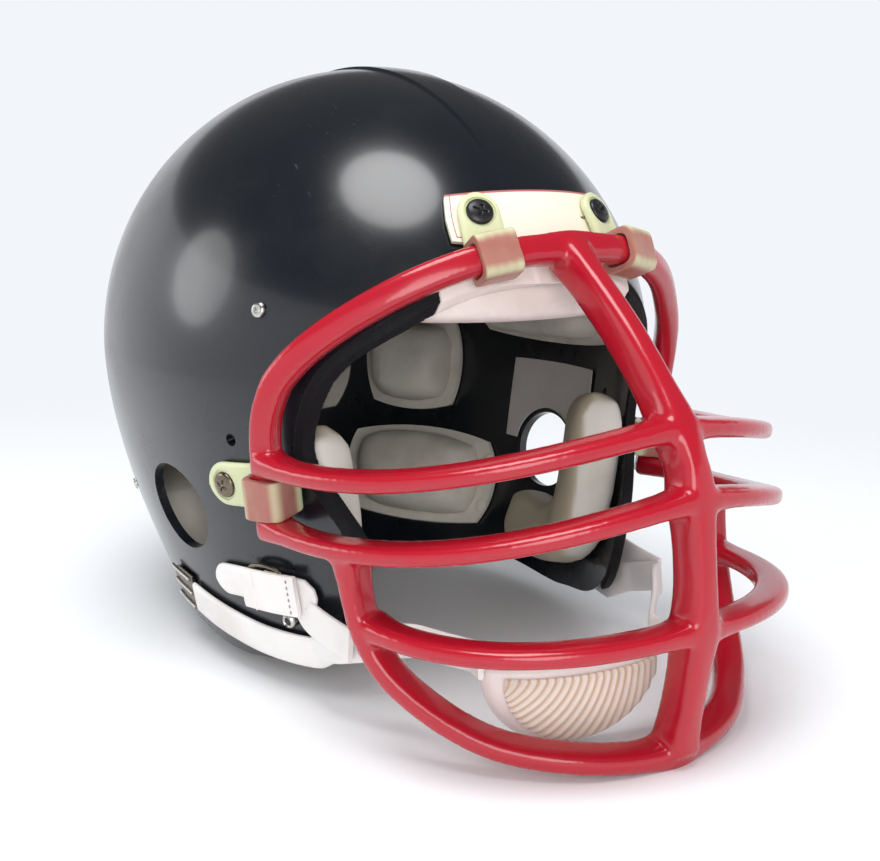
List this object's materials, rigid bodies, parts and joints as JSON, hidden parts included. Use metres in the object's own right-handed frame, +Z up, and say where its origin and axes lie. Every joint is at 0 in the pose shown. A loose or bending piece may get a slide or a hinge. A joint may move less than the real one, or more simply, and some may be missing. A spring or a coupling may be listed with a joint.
{
  "type": "football helmet",
  "caption": "Football helmet with a black shell, red moulded face mask on four clips, padded liner, jaw pads and a chin cup on straps",
  "frame": {"origin": "bottom centre of the whole helmet, on the floor that it rests on", "axes": "+Z up, -Y the way the wearer looks, X = 0 the plane between the left and the right halves"},
  "size_m": [0.224, 0.3624, 0.2494],
  "materials": {
    "shell_black": "glossy moulded shell with faint scuffs",
    "trim_rubber": "matt black edge bead",
    "plate_cream": "satin plate",
    "mask_red": "glossy moulded bars",
    "clip_plastic": "translucent clip",
    "screw_black": "blackened screw",
    "screw_steel": "plated steel",
    "liner_vinyl": "aged vinyl over foam",
    "brow_vinyl": "soft vinyl",
    "jaw_vinyl": "smooth vinyl over foam",
    "tag_film": "bare film",
    "strap_vinyl": "coated webbing",
    "cup_vinyl": "soft vinyl",
    "cup_cover_vinyl": "ribbed cover"
  },
  "bodies": {
    "helmet": {"back_pad": "liner_vinyl", "brow_pad": "brow_vinyl", "crown_front_pad": "liner_vinyl", "crown_rear_pad": "liner_vinyl", "crown_side_pad_left": "liner_vinyl", "crown_side_pad_right": "liner_vinyl", "edge_trim": "trim_rubber", "facemask": "mask_red", "front_plate": "plate_cream", "front_strap_left": "strap_vinyl", "front_strap_right": "strap_vinyl", "front_tab_left": "strap_vinyl", "front_tab_right": "strap_vinyl", "inner_tag": "tag_film", "jaw_pad_left": "jaw_vinyl", "jaw_pad_right": "jaw_vinyl", "keeper_left": "strap_vinyl", "keeper_right": "strap_vinyl", "liner_screw_left": "screw_steel", "liner_screw_right": "screw_steel", "neck_pad_left": "liner_vinyl", "neck_pad_right": "liner_vinyl", "pad_rivet_left_1": "liner_vinyl", "pad_rivet_left_2": "liner_vinyl", "pad_rivet_right_1": "liner_vinyl", "pad_rivet_right_2": "liner_vinyl", "rear_rivet_left": "screw_steel", "rear_rivet_right": "screw_steel", "rear_side_pad_left": "liner_vinyl", "rear_side_pad_right": "liner_vinyl", "rear_strap_left": "strap_vinyl", "rear_strap_right": "strap_vinyl", "shell": "shell_black", "side_clip_left": "clip_plastic", "side_clip_nut_left": "screw_steel", "side_clip_nut_right": "screw_steel", "side_clip_right": "clip_plastic", "side_clip_screw_left": "screw_steel", "side_clip_screw_right": "screw_steel", "side_pad_left": "liner_vinyl", "side_pad_right": "liner_vinyl", "strap_hook_left": "screw_steel", "strap_hook_right": "screw_steel", "strap_snap_left": "screw_steel", "strap_snap_right": "screw_steel", "top_clip_left": "clip_plastic", "top_clip_nut_left": "screw_steel", "top_clip_nut_right": "screw_steel", "top_clip_right": "clip_plastic", "top_clip_screw_left": "screw_black", "top_clip_screw_right": "screw_black"},
    "chin_strap": {"chin_cup": "cup_vinyl", "cup_cover": "cup_cover_vinyl", "chin_strap_left": "strap_vinyl", "chin_strap_right": "strap_vinyl"}
  },
  "joints": [
    {"name": "chin_strap_swing", "type": "hinge", "parent": "helmet", "child": "chin_strap", "pos_m": [0, -0.0754, 0.03], "axis": [1, 0, 0], "range_deg": [-35, 70]}
  ]
}
